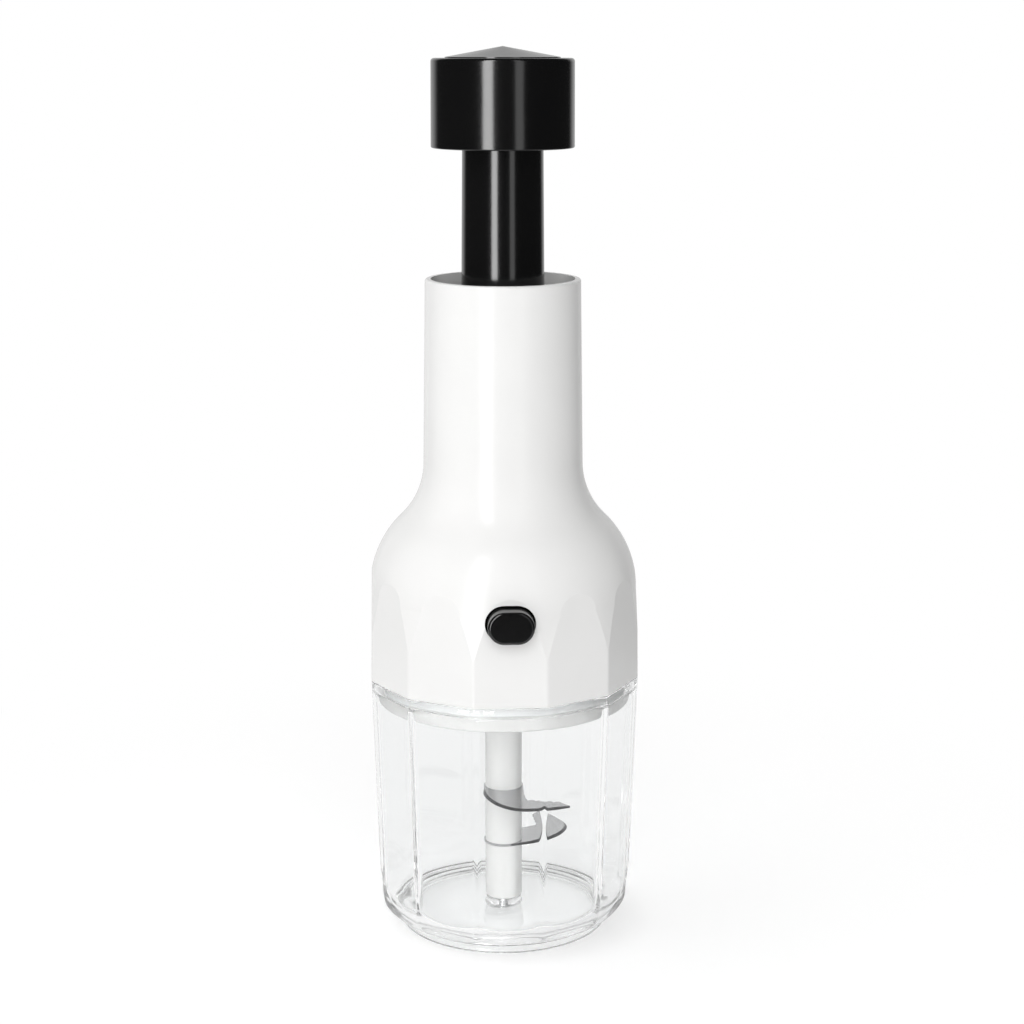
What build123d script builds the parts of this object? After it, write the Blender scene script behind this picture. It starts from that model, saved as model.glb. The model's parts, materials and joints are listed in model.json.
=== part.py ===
from build123d import *
from math import atan, cos, degrees, radians, sin, sqrt
import os

# Plunger food chopper, built piece by piece. Millimetres, +Z up, origin on the axis at the foot plane.
#
# Pressing the knob drives a nut down a twisted steel rod. The rod turns the blade shaft that stands
# on a pin in the clear cup, a spring lifts the plunger again, and a side button latches it down.
# The button's facet faces -Y.

# ---- facets shared by the cup and the housing ------------------------------------------------
SIDES = 12
FACET_ANGLE = 360 / SIDES
FACET_COS = cos(radians(FACET_ANGLE / 2))
JOIN_Z = 81.8                 # where the housing's bottom edge meets the cup's rim
JOIN_GAP = 0.2
JOIN_CORNER_R = 42.75         # corner radius of both at the join

# ---- cup ---------------------------------------------------------------------------------------
CUP_DRAFT = 0.033             # corner radius lost per mm of depth
CUP_WALL = 3.2
CUP_CORNER_ROUND = 2.2
CUP_RIB_ROUND = 4.0
CUP_BASE_ROUND = 8.0
CUP_BOWL_ROUND = 10.0
CUP_FLOOR_T = 3.05
CUP_RIM_WALL = 3.65
CUP_RIM_DEPTH = 3.6
FOOT_INSET = 7.56             # foot ring inside the cup's lowest corners
FOOT_WALL = 3.0
FOOT_ARC_Z = 11.64            # where the rounding under the wall starts
FLOOR_UNDER_Z = 2.0
CUP_BOSS_R = 5.6
CUP_BOSS_H = 2.05

# ---- pivot pin ---------------------------------------------------------------------------------
PIN_R = 1.6
PIN_HEAD_R = 3.2
PIN_HEAD_T = 1.1
PIN_STAND = 7.9               # above the cup's boss

# ---- blade unit --------------------------------------------------------------------------------
SHAFT_R = 5.82
SHAFT_FOOT_GAP = 0.2          # above the cup's boss
SHAFT_TOP_GAP = 0.4           # below the base plate
SHAFT_CHAMFER = 0.4
FOOT_LENGTH = 17.9
SPACER_LENGTH = 17.3
BLADE_T = 0.7
BLADE_HUB_RIM = 0.38          # how far the blades' hub stands out of the shaft
BLADE_TURN = 110              # degrees from the upper blade to the lower one
BLADE_REACH = 28.0
BLADE_TEETH = 4
BLADE_TOOTH_DEPTH = 1.0
CORE_FLATS = 4.2
CORE_GAP = 0.02
CORE_BELOW = 8.2              # how far the core reaches into the shaft's foot
CORE_TOP_GAP = 3.8            # core to the drive's socket
PIVOT_GAP = 0.06

# ---- hexagonal drive between the housing and the blade unit --------------------------------------
DRIVE_FLATS = 6.2
DRIVE_GAP = 0.15
DRIVE_LENGTH = 12.0
SOCKET_SPARE = 1.6
DRIVE_CHAMFER = 0.6

# ---- plunger -----------------------------------------------------------------------------------
TRAVEL = 64.4
TUBE_LOW_R = 12.86
TUBE_TAPER = 0.66
TUBE_WALL = 1.96
TUBE_WEB_T = 6.5
KNOB_HEIGHT = 26.2
KNOB_LOW_R = 21.53
KNOB_DRAFT = 0.13
KNOB_WALL = 2.2
KNOB_TOP_T = 4.6
KNOB_EDGE = 1.0
KNOB_SOCKET_WALL = 2.8
KNOB_FIT = 0.05
KNOB_BASE_T = 1.6
CAP_INSET = 4.2
CAP_DEPTH = 1.2
CAP_LIP = 0.3
CAP_HEIGHT = 3.45             # apex above the knob's rim
KNOB_SCREW_R = 2.0
KNOB_SCREW_HEAD_R = 3.6
KNOB_SCREW_HEAD_T = 2.2
KNOB_SCREW_LENGTH = 9.0

# ---- housing -----------------------------------------------------------------------------------
HOUSING_DRAFT = 0.0147
HOUSING_CORNER_ROUND = 2.3
HOUSING_WALL = 3.05
SHOULDER_INSET = 1.35         # shoulder's round inside the facets' corners
SKIRT_HEIGHT = 27.2
SHOULDER_HEIGHT = 39.7
SHOULDER_LOW_ARC = 30.5
NECK_HEIGHT = 56.0
NECK_WALL = 1.76
NECK_TAPER = 0.84
NECK_EDGE = 0.7
KNOB_NECK_GAP = 0.37
KNOB_PROUD = 0.8              # knob above the neck's rim at the end of the stroke
SHELF_T = 1.8
SHELF_KNOB_GAP = 0.3          # knob to shelf at the end of the stroke
SHELF_TUBE_GAP = 1.74

# ---- base plate of the housing, which plugs the cup ----------------------------------------------
PLUG_DEPTH = 8.4
PLUG_INSET = 1.45             # plug inside the cup's rim bore
PLUG_WALL = 2.2
PLUG_FLOOR_T = 2.4
PLUG_FLANGE_T = 2.4
PLUG_FLANGE_GAP = 0.1
PLUG_EDGE = 0.8
PLUG_BOSS_H = 9.2
SEAL_GAP = 0.25               # to the cup's rim bore
SEAL_DEPTH = 1.0
SEAL_MARGIN = 0.4
SEAL_EDGE = 0.5

# ---- screws ------------------------------------------------------------------------------------
SCREW_R = 1.4
SCREW_HEAD_R = 2.8
SCREW_HEAD_T = 1.9
SCREW_GAP = 0.1
FIRST_SCREW_ANGLE = 45
BASE_SCREW_COUNT = 4
BASE_SCREW_LENGTH = 10.0
PILLAR_WALL_GAP = 1.3         # pillars to the plug's wall
PILLAR_FLANGE_GAP = 1.6       # pillars to the sleeve's flange
PILLAR_RISE = 20.0            # above the skirt, into the shoulder
SLEEVE_SCREW_COUNT = 3
SLEEVE_SCREW_LENGTH = 6.0
SLEEVE_BOSS_R = 2.9
SLEEVE_BOSS_H = 5.0

# ---- drive hub and its bearing -------------------------------------------------------------------
HUB_R = 5.0
HUB_RIM = 2.5
HUB_FLANGE_T = 2.2
BUSH_WALL = 2.0
BUSH_RIM = 2.5
BUSH_DROP = 8.6               # length inside the base plate's boss
BUSH_FLANGE_T = 1.2
BUSH_GAP = 0.05
WASHER_T = 0.5
CLIP_RIM = 1.5
CLIP_T = 0.8
CLIP_GROOVE = 0.8
CLIP_GAP = 0.1

# ---- twisted rod and its nut ---------------------------------------------------------------------
ROD_WIDTH = 9.0
ROD_THICK = 2.4
TURNS_PER_PRESS = 1.5
ROD_SPARE = 4.8               # rod above the nut's flange at rest
TANG_DEPTH = 4.6
NUT_RIM = 2.24                # flange outside the tube
NUT_FLANGE_T = 3.0
NUT_SPIGOT_H = 8.0
NUT_SPIGOT_BORE_R = 6.0
NUT_GAP = 0.25
NUT_EAR = 1.5
NUT_EAR_WIDTH = 3.0
NUT_PIN_R = 1.0
NUT_PIN_H = 4.3
NUT_PIN_INSET = 0.3
NUT_PIN_PROUD = 0.5

# ---- guide sleeve and collar ---------------------------------------------------------------------
SLEEVE_GAP = 0.3              # nut flange to the sleeve's bore
SLEEVE_WALL = 2.6
SLEEVE_LOW_GAP = 0.4
SLEEVE_FLANGE_T = 2.4
SLEEVE_FLANGE_RIM = 0.7       # outside its screws' bosses
SLEEVE_BOSS_GAP = 0.1         # bosses to the sleeve's outside
KEYWAY_GAP = 0.2
KEYWAY_SPARE = 1.0
COLLAR_H = 5.4
COLLAR_FLANGE_T = 1.4
COLLAR_GAP = 0.1
STOP_GAP = 0.2                # nut flange to collar at rest

# ---- return spring -------------------------------------------------------------------------------
SPRING_CLEAR = 0.65           # round the hub's flange
SPRING_WIRE_R = 0.55
SPRING_TURNS = 8.5
SPRING_SEAT_GAP = 0.1

# ---- release button and latch --------------------------------------------------------------------
BUTTON_LENGTH = 13.9
BUTTON_HEIGHT = 9.95
BUTTON_STAND = 5.5            # how far it stands out of the facet
BUTTON_TAPER = 0.05
BUTTON_EDGE = 0.9
BUTTON_HOLE_GAP = 0.6
BUTTON_FLANGE_RIM = 1.4
BUTTON_FLANGE_T = 1.4
BUTTON_FLANGE_DEPTH = 2.2     # flange inside the skirt's bore
BUTTON_TRAVEL = 2.4
LATCH_WIDTH = 6.0
LATCH_THICK = 2.5
LATCH_LIFT = 0.45             # latch over the nut's flange at the end of the stroke
LATCH_SOCKET = 2.0
LATCH_GAP = 0.2
LATCH_TUBE_GAP = 0.34         # latch tip to the plunger tube with the button pressed
LATCH_PAD_DEPTH = 2.0
LATCH_PAD_RIM = 3.5
BUTTON_SPRING_CLEAR = 0.95    # round the latch's edge
BUTTON_SPRING_WIRE_R = 0.3
BUTTON_SPRING_TURNS = 6

# ---- heights worked out from the sizes above, from the foot up ------------------------------------
CUP_RIM_Z = JOIN_Z - JOIN_GAP
CUP_LEDGE_Z = CUP_RIM_Z - CUP_RIM_DEPTH
CUP_FLOOR_Z = FLOOR_UNDER_Z + CUP_FLOOR_T
CUP_BOSS_Z = CUP_FLOOR_Z + CUP_BOSS_H
PIN_TOP_Z = CUP_BOSS_Z + PIN_STAND
PLUG_LOW_Z = JOIN_Z - PLUG_DEPTH
PLUG_FLOOR_Z = PLUG_LOW_Z + PLUG_FLOOR_T
PLUG_TOP_Z = JOIN_Z + PLUG_FLANGE_T
PLUG_BOSS_TOP_Z = PLUG_FLOOR_Z + PLUG_BOSS_H
SHAFT_LOW_Z = CUP_BOSS_Z + SHAFT_FOOT_GAP
SHAFT_TOP_Z = PLUG_LOW_Z - SHAFT_TOP_GAP
LOWER_BLADE_Z = SHAFT_LOW_Z + FOOT_LENGTH
UPPER_BLADE_Z = LOWER_BLADE_Z + BLADE_T + SPACER_LENGTH
DRIVE_TOP_Z = PLUG_LOW_Z
DRIVE_LOW_Z = DRIVE_TOP_Z - DRIVE_LENGTH
SOCKET_LOW_Z = DRIVE_LOW_Z - SOCKET_SPARE
CORE_LOW_Z = LOWER_BLADE_Z - CORE_BELOW
CORE_HIGH_Z = SOCKET_LOW_Z - CORE_TOP_GAP
BUSH_LOW_Z = PLUG_BOSS_TOP_Z - BUSH_DROP
BUSH_TOP_Z = PLUG_BOSS_TOP_Z + BUSH_FLANGE_T
HUB_FLANGE_Z = BUSH_TOP_Z + WASHER_T
HUB_TOP_Z = HUB_FLANGE_Z + HUB_FLANGE_T
TANG_LOW_Z = HUB_TOP_Z - TANG_DEPTH
CLIP_Z = BUSH_LOW_Z - CLIP_GAP - CLIP_T
SHOULDER_LOW_Z = JOIN_Z + SKIRT_HEIGHT
NECK_LOW_Z = SHOULDER_LOW_Z + SHOULDER_HEIGHT
NECK_TOP_Z = NECK_LOW_Z + NECK_HEIGHT
KNOB_HIGH_Z = NECK_TOP_Z + TRAVEL + KNOB_PROUD
KNOB_LOW_Z = KNOB_HIGH_Z - KNOB_HEIGHT
TUBE_TOP_Z = KNOB_HIGH_Z - KNOB_TOP_T
KNOB_SCREW_HEAD_Z = KNOB_HIGH_Z - CAP_DEPTH - KNOB_SCREW_HEAD_T
SHELF_TOP_Z = KNOB_LOW_Z - TRAVEL - SHELF_KNOB_GAP
SHELF_LOW_Z = SHELF_TOP_Z - SHELF_T
SLEEVE_TOP_Z = SHELF_LOW_Z - COLLAR_FLANGE_T
SLEEVE_LOW_Z = PLUG_FLOOR_Z + SLEEVE_LOW_GAP
SLEEVE_FLANGE_Z = PLUG_FLOOR_Z + SLEEVE_BOSS_H
COLLAR_LOW_Z = SLEEVE_TOP_Z - COLLAR_H
NUT_FLANGE_TOP_Z = COLLAR_LOW_Z - STOP_GAP
NUT_LOW_Z = NUT_FLANGE_TOP_Z - NUT_FLANGE_T
NUT_PRESSED_Z = NUT_LOW_Z - TRAVEL
NUT_PIN_Z = NUT_FLANGE_TOP_Z + NUT_PIN_H
ROD_TOP_Z = NUT_FLANGE_TOP_Z + ROD_SPARE
ROD_LEAD = TRAVEL / TURNS_PER_PRESS
BUTTON_Z = NUT_FLANGE_TOP_Z - TRAVEL + LATCH_LIFT + LATCH_THICK / 2

# ---- radii worked out from the sizes above --------------------------------------------------------
CUP_RIM_BORE_R = JOIN_CORNER_R - CUP_RIM_WALL
PLUG_R = CUP_RIM_BORE_R - PLUG_INSET
SHOULDER_LOW_R = JOIN_CORNER_R - SHOULDER_INSET
SKIRT_BORE_R = SHOULDER_LOW_R - HOUSING_WALL
NECK_BORE_R = KNOB_LOW_R + KNOB_NECK_GAP
NECK_TOP_R = NECK_BORE_R + NECK_WALL
NECK_LOW_R = NECK_TOP_R + NECK_TAPER
BLADE_HUB_R = SHAFT_R + BLADE_HUB_RIM
HUB_FLANGE_R = HUB_R + HUB_RIM
BUSH_R = HUB_R + BUSH_WALL
BUSH_FLANGE_R = BUSH_R + BUSH_RIM
PLUG_BOSS_R = BUSH_FLANGE_R
CLIP_R = HUB_R + CLIP_RIM
CLIP_GROOVE_R = HUB_R - CLIP_GROOVE
SPRING_R = HUB_FLANGE_R + SPRING_CLEAR + SPRING_WIRE_R
TUBE_HIGH_R = TUBE_LOW_R - TUBE_TAPER
TUBE_BORE_R = TUBE_LOW_R - TUBE_WALL
SHELF_BORE_R = TUBE_LOW_R + SHELF_TUBE_GAP
NUT_FLANGE_R = TUBE_LOW_R + NUT_RIM
NUT_EAR_R = NUT_FLANGE_R + NUT_EAR
SLEEVE_BORE_R = NUT_FLANGE_R + SLEEVE_GAP
SLEEVE_R = SLEEVE_BORE_R + SLEEVE_WALL
SLEEVE_SCREW_CIRCLE = SLEEVE_R + SLEEVE_BOSS_GAP + SLEEVE_BOSS_R
SLEEVE_FLANGE_R = SLEEVE_SCREW_CIRCLE + SLEEVE_BOSS_R + SLEEVE_FLANGE_RIM
PILLAR_ROOM = PLUG_R - PLUG_WALL - SLEEVE_FLANGE_R
PILLAR_R = (PILLAR_ROOM - PILLAR_WALL_GAP - PILLAR_FLANGE_GAP) / 2
BASE_SCREW_CIRCLE = PLUG_R - PLUG_WALL - PILLAR_WALL_GAP - PILLAR_R
KNOB_HIGH_R = KNOB_LOW_R - KNOB_DRAFT
KNOB_SOCKET_R = TUBE_HIGH_R + KNOB_SOCKET_WALL
CAP_R = KNOB_HIGH_R - CAP_INSET
BUTTON_SPRING_R = LATCH_WIDTH / 2 + BUTTON_SPRING_CLEAR + BUTTON_SPRING_WIRE_R
FACET_Y = -(JOIN_CORNER_R - HOUSING_DRAFT * (BUTTON_Z - JOIN_Z)) * FACET_COS
BUTTON_FLANGE_Y = -(SKIRT_BORE_R - BUTTON_FLANGE_DEPTH)
LATCH_PAD_Y = -(SLEEVE_R + LATCH_PAD_DEPTH)


def ring(outer_r, inner_r, low_z, high_z):
    """A plain tube or washer round the axis."""
    body = Pos(0, 0, low_z) * extrude(Circle(outer_r), high_z - low_z)
    if inner_r > 0:
        body -= Pos(0, 0, low_z) * extrude(Circle(inner_r), high_z - low_z)
    return body


def hex_bar(flats, low_z, high_z):
    """A hexagonal bar on the axis."""
    return Pos(0, 0, low_z) * extrude(RegularPolygon(flats / 2, 6, major_radius=False), high_z - low_z)


def block(x_size, y_size, z_size, x=0, y=0, z=0):
    """A box centred on the point given."""
    return Pos(x, y, z) * Box(x_size, y_size, z_size)


def around(count, radius):
    """Places spread evenly round the axis, clear of the button's facet."""
    step = 360 / count
    return [Rot(0, 0, FIRST_SCREW_ANGLE + step * i) * Pos(radius, 0, 0) for i in range(count)]


def turned(outline):
    """A solid of revolution from a closed outline drawn in the XZ plane."""
    return revolve(make_face(Plane.XZ * outline), Axis.Z)


def faceted(low_r, low_z, high_r, high_z, corner_round):
    """A tapered prism with softened corners and one facet square to -Y."""
    turn = FACET_ANGLE / 2
    low = fillet(RegularPolygon(low_r, SIDES, rotation=turn).vertices(), corner_round)
    high = fillet(RegularPolygon(high_r, SIDES, rotation=turn).vertices(), corner_round)
    return loft([Pos(0, 0, low_z) * low, Pos(0, 0, high_z) * high], ruled=True)


def save(node, solids):
    """One STEP file per sub-part."""
    export_step(solids, f"parts/{node}.step")


# ---- cup -----------------------------------------------------------------------------------------
def cup_corner_r(z):
    return JOIN_CORNER_R - CUP_DRAFT * (JOIN_Z - z)


def foot_r():
    return cup_corner_r(FOOT_ARC_Z) - FOOT_INSET


def cup_outside():
    """Faceted body, rounded under the wall down to a plain round foot ring."""
    arc_z = FOOT_ARC_Z
    wide_r = cup_corner_r(arc_z)
    centre_r = wide_r - CUP_BASE_ROUND
    foot_z = arc_z - sqrt(CUP_BASE_ROUND**2 - (foot_r() - centre_r) ** 2)
    middle = (centre_r + CUP_BASE_ROUND * cos(radians(45)), arc_z - CUP_BASE_ROUND * sin(radians(45)))
    beyond_r = JOIN_CORNER_R + CUP_CORNER_ROUND
    outline = Polyline((0, CUP_RIM_Z), (0, 0), (foot_r(), 0), (foot_r(), foot_z))
    outline += ThreePointArc((foot_r(), foot_z), middle, (wide_r, arc_z))
    outline += Polyline((wide_r, arc_z), (beyond_r, CUP_RIM_Z), (0, CUP_RIM_Z))
    prism = faceted(cup_corner_r(0), 0, cup_corner_r(CUP_RIM_Z), CUP_RIM_Z, CUP_CORNER_ROUND)
    return turned(outline) & prism


def cup_inside():
    """Faceted hollow with a bowl-shaped bottom, and the plain bore that takes the plug."""
    arc_z = CUP_FLOOR_Z + CUP_BOWL_ROUND
    arc_r = cup_corner_r(arc_z) - CUP_WALL
    floor_r = arc_r - CUP_BOWL_ROUND
    middle = (floor_r + CUP_BOWL_ROUND * sin(radians(45)), arc_z - CUP_BOWL_ROUND * cos(radians(45)))
    outline = Polyline((0, CUP_LEDGE_Z), (0, CUP_FLOOR_Z), (floor_r, CUP_FLOOR_Z))
    outline += ThreePointArc((floor_r, CUP_FLOOR_Z), middle, (arc_r, arc_z))
    outline += Polyline((arc_r, arc_z), (JOIN_CORNER_R, CUP_LEDGE_Z), (0, CUP_LEDGE_Z))
    inset = CUP_WALL / FACET_COS
    low_r = cup_corner_r(0) - inset
    high_r = cup_corner_r(CUP_LEDGE_Z) - inset
    pocket = turned(outline) & faceted(low_r, 0, high_r, CUP_LEDGE_Z, CUP_RIB_ROUND)
    return pocket + ring(CUP_RIM_BORE_R, 0, CUP_LEDGE_Z, CUP_RIM_Z)


def cup():
    body = cup_outside() - cup_inside()
    body += ring(CUP_BOSS_R, 0, CUP_FLOOR_Z, CUP_BOSS_Z)
    body -= ring(foot_r() - FOOT_WALL, 0, 0, FLOOR_UNDER_Z)
    body -= ring(PIN_R, 0, FLOOR_UNDER_Z, CUP_BOSS_Z)
    body -= ring(PIN_HEAD_R, 0, FLOOR_UNDER_Z, FLOOR_UNDER_Z + PIN_HEAD_T)
    return body


def pivot_pin():
    head = ring(PIN_HEAD_R, 0, FLOOR_UNDER_Z, FLOOR_UNDER_Z + PIN_HEAD_T)
    shank = ring(PIN_R, 0, FLOOR_UNDER_Z, PIN_TOP_Z)
    return chamfer((head + shank).edges().group_by(Axis.Z)[-1], PIN_R / 4)


# ---- blade unit ----------------------------------------------------------------------------------
def blade_outline():
    """A sickle swept round the front of the hub, with scallops on its inner edge behind the tip."""
    reach = BLADE_REACH
    root_left = Vector(-BLADE_HUB_R, 0)
    root_right = Vector(BLADE_HUB_R, 0)
    tip = Vector(0.67, -0.74) * reach
    heel = Vector(0.585, -0.645) * reach
    throat = Vector(0.24, -0.55) * reach
    belly = [(-0.235, -0.29), (-0.14, -0.575), (0.02, -0.765), (0.2, -0.835), (0.475, -0.807)]
    outer = [Vector(*share) * reach for share in belly]
    edge = Spline(root_left, *outer, tip, tangents=[(0, -1), (1, 0.25)])
    edge += Line(tip, heel)
    teeth = [heel + (throat - heel) * (i / BLADE_TEETH) for i in range(BLADE_TEETH + 1)]
    for start, end in zip(teeth, teeth[1:]):
        edge += SagittaArc(start, end, BLADE_TOOTH_DEPTH)
    edge += Spline(throat, Vector(0.215, -0.36) * reach, root_right, tangents=[(-0.2, 1), (0, 1)])
    edge += ThreePointArc(root_right, (0, BLADE_HUB_R), root_left)
    return edge


def blade(low_z, turn):
    plate = Rot(0, 0, turn) * Pos(0, 0, low_z) * extrude(make_face(blade_outline()), BLADE_T)
    return plate - core_hole(low_z, low_z + BLADE_T)


def blade_core():
    return hex_bar(CORE_FLATS, CORE_LOW_Z, CORE_HIGH_Z)


def core_hole(low_z, high_z):
    return hex_bar(CORE_FLATS + 2 * CORE_GAP, low_z, high_z)


def shaft_foot():
    body = ring(SHAFT_R, 0, SHAFT_LOW_Z, LOWER_BLADE_Z)
    body = chamfer(body.edges().group_by(Axis.Z)[0], SHAFT_CHAMFER)
    body -= ring(PIN_R + PIVOT_GAP, 0, SHAFT_LOW_Z, PIN_TOP_Z + SHAFT_FOOT_GAP)
    return body - core_hole(CORE_LOW_Z, LOWER_BLADE_Z)


def blade_spacer():
    body = ring(SHAFT_R, 0, LOWER_BLADE_Z + BLADE_T, UPPER_BLADE_Z)
    return body - core_hole(LOWER_BLADE_Z, UPPER_BLADE_Z)


def shaft_top():
    """Carries the hexagonal socket that the drive drops into."""
    body = ring(SHAFT_R, 0, UPPER_BLADE_Z + BLADE_T, SHAFT_TOP_Z)
    body = chamfer(body.edges().group_by(Axis.Z)[-1], SHAFT_CHAMFER)
    body -= core_hole(UPPER_BLADE_Z, CORE_HIGH_Z)
    return body - hex_bar(DRIVE_FLATS + 2 * DRIVE_GAP, SOCKET_LOW_Z, SHAFT_TOP_Z)


# ---- housing -------------------------------------------------------------------------------------
def upper_shoulder_arc(neck_r, low_r, low_arc):
    """Radius of the upper arc that meets the lower one smoothly and ends upright at the neck."""
    rise = NECK_LOW_Z - SHOULDER_LOW_Z
    offset = neck_r - low_r + low_arc
    return (offset**2 + rise**2 - low_arc**2) / (2 * (low_arc - offset))


def shoulder(inset):
    """The S-curve from the body to the neck, moved inward by a wall."""
    low_r = SHOULDER_LOW_R - inset
    neck_r = NECK_LOW_R - inset
    low_arc = SHOULDER_LOW_ARC - inset
    high_arc = upper_shoulder_arc(neck_r, low_r, low_arc)
    low_centre = Vector(low_r - low_arc, SHOULDER_LOW_Z)
    high_centre = Vector(neck_r + high_arc, NECK_LOW_Z)
    meet = low_centre + (high_centre - low_centre).normalized() * low_arc
    angle = Vector(1, 0).get_angle(meet - low_centre)
    low_mid = low_centre + Vector(low_arc, 0).rotate(Axis.Z, angle / 2)
    high_mid = high_centre - Vector(high_arc, 0).rotate(Axis.Z, angle / 2)
    curve = ThreePointArc((low_r, SHOULDER_LOW_Z), low_mid, meet)
    curve += ThreePointArc(meet, high_mid, (neck_r, NECK_LOW_Z))
    return curve


def housing_outside():
    rim_r = NECK_TOP_R - NECK_EDGE
    edge_z = NECK_TOP_Z - NECK_EDGE
    skirt_r = SHOULDER_LOW_R + HOUSING_CORNER_ROUND
    outline = Polyline((0, JOIN_Z), (skirt_r, JOIN_Z), (SHOULDER_LOW_R, SHOULDER_LOW_Z))
    outline += shoulder(0)
    outline += Polyline((NECK_LOW_R, NECK_LOW_Z), (NECK_TOP_R, edge_z))
    middle = (rim_r + NECK_EDGE * sin(radians(45)), edge_z + NECK_EDGE * cos(radians(45)))
    outline += ThreePointArc((NECK_TOP_R, edge_z), middle, (rim_r, NECK_TOP_Z))
    outline += Polyline((rim_r, NECK_TOP_Z), (0, NECK_TOP_Z), (0, JOIN_Z))
    top_corner_r = JOIN_CORNER_R - HOUSING_DRAFT * (NECK_TOP_Z - JOIN_Z)
    prism = faceted(JOIN_CORNER_R, JOIN_Z, top_corner_r, NECK_TOP_Z, HOUSING_CORNER_ROUND)
    return turned(outline) & prism


def housing_inside():
    neck_r = NECK_LOW_R - HOUSING_WALL
    outline = Polyline((0, JOIN_Z), (SKIRT_BORE_R, JOIN_Z), (SKIRT_BORE_R, SHOULDER_LOW_Z))
    outline += shoulder(HOUSING_WALL)
    outline += Polyline((neck_r, NECK_LOW_Z), (neck_r, SHELF_LOW_Z), (SHELF_BORE_R, SHELF_LOW_Z))
    outline += Polyline((SHELF_BORE_R, SHELF_LOW_Z), (SHELF_BORE_R, SHELF_TOP_Z), (NECK_BORE_R, SHELF_TOP_Z))
    outline += Polyline((NECK_BORE_R, SHELF_TOP_Z), (NECK_BORE_R, NECK_TOP_Z), (0, NECK_TOP_Z))
    outline += Line((0, NECK_TOP_Z), (0, JOIN_Z))
    return turned(outline)


def button_bar(length, height, from_y, to_y, taper=0):
    """An oval bar along Y at the button's height, drawn from its inner end outward."""
    sketch = Plane((0, from_y, BUTTON_Z), x_dir=(1, 0, 0), z_dir=(0, -1, 0)) * SlotOverall(length, height)
    return extrude(sketch, from_y - to_y, taper=taper)


def housing_shell():
    outside = housing_outside()
    body = outside - housing_inside()
    for place in around(BASE_SCREW_COUNT, BASE_SCREW_CIRCLE):
        pillar = place * ring(PILLAR_R, 0, PLUG_FLOOR_Z, SHOULDER_LOW_Z + PILLAR_RISE)
        body += pillar & (outside + ring(JOIN_CORNER_R, 0, PLUG_FLOOR_Z, JOIN_Z))
    for place in around(BASE_SCREW_COUNT, BASE_SCREW_CIRCLE):
        body -= place * ring(SCREW_R, 0, PLUG_FLOOR_Z, PLUG_FLOOR_Z + BASE_SCREW_LENGTH)
    gap = 2 * BUTTON_HOLE_GAP
    beyond_y = FACET_Y - BUTTON_STAND
    return body - button_bar(BUTTON_LENGTH + gap, BUTTON_HEIGHT + gap, BUTTON_FLANGE_Y, beyond_y)


def base_plate():
    """White tray that plugs the cup and closes the housing from below."""
    body = ring(PLUG_R, 0, PLUG_LOW_Z, PLUG_TOP_Z)
    body = fillet(body.edges().group_by(Axis.Z)[0], PLUG_EDGE)
    body += ring(SKIRT_BORE_R - PLUG_FLANGE_GAP, 0, JOIN_Z, PLUG_TOP_Z)
    body -= ring(PLUG_R - PLUG_WALL, 0, PLUG_FLOOR_Z, PLUG_TOP_Z)
    body += ring(PLUG_BOSS_R, 0, PLUG_FLOOR_Z, PLUG_BOSS_TOP_Z)
    body -= ring(BUSH_R, 0, PLUG_LOW_Z, PLUG_BOSS_TOP_Z)
    for place in around(SLEEVE_SCREW_COUNT, SLEEVE_SCREW_CIRCLE):
        body += place * ring(SLEEVE_BOSS_R, 0, PLUG_FLOOR_Z, SLEEVE_FLANGE_Z)
        screw_low_z = SLEEVE_FLANGE_Z + SLEEVE_FLANGE_T - SLEEVE_SCREW_LENGTH
        body -= place * ring(SCREW_R, 0, screw_low_z, SLEEVE_FLANGE_Z)
    for place in around(BASE_SCREW_COUNT, BASE_SCREW_CIRCLE):
        body -= place * ring(SCREW_R + SCREW_GAP, 0, PLUG_LOW_Z, PLUG_FLOOR_Z)
        body -= place * ring(SCREW_HEAD_R + SCREW_GAP, 0, PLUG_LOW_Z, PLUG_LOW_Z + SCREW_HEAD_T)
    body -= ring(PLUG_R, PLUG_R - SEAL_DEPTH, CUP_LEDGE_Z + SEAL_MARGIN, CUP_RIM_Z - SEAL_MARGIN)
    return body


def seal_ring():
    low_z = CUP_LEDGE_Z + SEAL_MARGIN
    high_z = CUP_RIM_Z - SEAL_MARGIN
    body = ring(CUP_RIM_BORE_R - SEAL_GAP, PLUG_R - SEAL_DEPTH, low_z, high_z)
    return fillet(body.edges().filter_by(GeomType.CIRCLE).sort_by(SortBy.RADIUS)[-2:], SEAL_EDGE)


def screw_cross(head_r, shank_r, head_t, z):
    """The cross recess, half as deep as the head is thick."""
    return block(head_r, shank_r / 2, head_t, z=z) + block(shank_r / 2, head_r, head_t, z=z)


def screw(head_z, length, head_below=True):
    """A pan-head screw on the axis; its head lies below or above the plane head_z."""
    if head_below:
        head = ring(SCREW_HEAD_R, 0, head_z - SCREW_HEAD_T, head_z)
        shank = ring(SCREW_R, 0, head_z, head_z + length)
        slot_z = head_z - SCREW_HEAD_T
    else:
        head = ring(SCREW_HEAD_R, 0, head_z, head_z + SCREW_HEAD_T)
        shank = ring(SCREW_R, 0, head_z - length, head_z)
        slot_z = head_z + SCREW_HEAD_T
    return head + shank - screw_cross(SCREW_HEAD_R, SCREW_R, SCREW_HEAD_T, slot_z)


def base_screws():
    head_z = PLUG_LOW_Z + SCREW_HEAD_T
    length = PLUG_FLOOR_Z - head_z + BASE_SCREW_LENGTH
    return [place * screw(head_z, length) for place in around(BASE_SCREW_COUNT, BASE_SCREW_CIRCLE)]


def sleeve_screws():
    head_z = SLEEVE_FLANGE_Z + SLEEVE_FLANGE_T
    places = around(SLEEVE_SCREW_COUNT, SLEEVE_SCREW_CIRCLE)
    return [place * screw(head_z, SLEEVE_SCREW_LENGTH, head_below=False) for place in places]


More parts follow.
